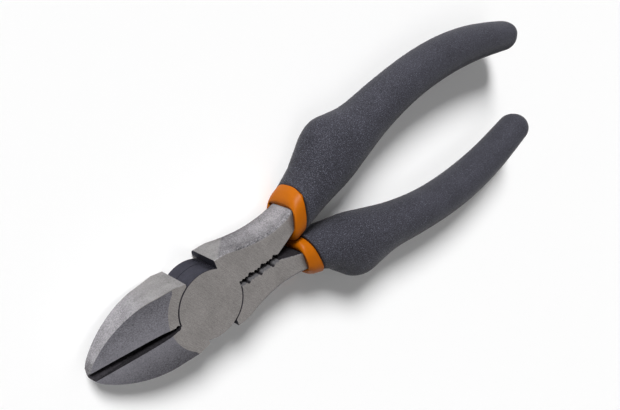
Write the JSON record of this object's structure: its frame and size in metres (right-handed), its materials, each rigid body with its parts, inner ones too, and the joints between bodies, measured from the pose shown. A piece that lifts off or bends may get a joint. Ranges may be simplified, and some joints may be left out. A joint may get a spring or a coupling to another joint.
{
  "type": "diagonal cutting pliers",
  "caption": "Diagonal cutting pliers with ground bevelled jaws, a lap joint, a crimping zone behind the joint and curved handles in two-layer soft grips.",
  "frame": {"origin": "centre of the joint's underside, on the pivot axis", "axes": "+X along the closed jaws towards their tips, +Z along the pivot axis out of the front of the joint, +Y across the tool"},
  "size_m": [0.2011, 0.067, 0.0188],
  "materials": {
    "forged_steel": "ground satin on the faces, fine blasted on the forged sides",
    "rivet_steel": "ground flush with the joint",
    "orange_sleeve": "semi-matt moulded",
    "grey_grip": "matt, fine sandy texture"
  },
  "bodies": {
    "lower": {"lower_plier_half": "forged_steel", "pivot_rivet": "rivet_steel", "lower_inner_sleeve": "orange_sleeve", "lower_grip": "grey_grip"},
    "upper": {"upper_plier_half": "forged_steel", "upper_inner_sleeve": "orange_sleeve", "upper_grip": "grey_grip"}
  },
  "joints": [
    {"name": "pivot", "type": "hinge", "parent": "lower", "child": "upper", "pos_m": [0, 0, 0.0065], "axis": [0, 0, 1], "range_deg": [0, 50]}
  ]
}
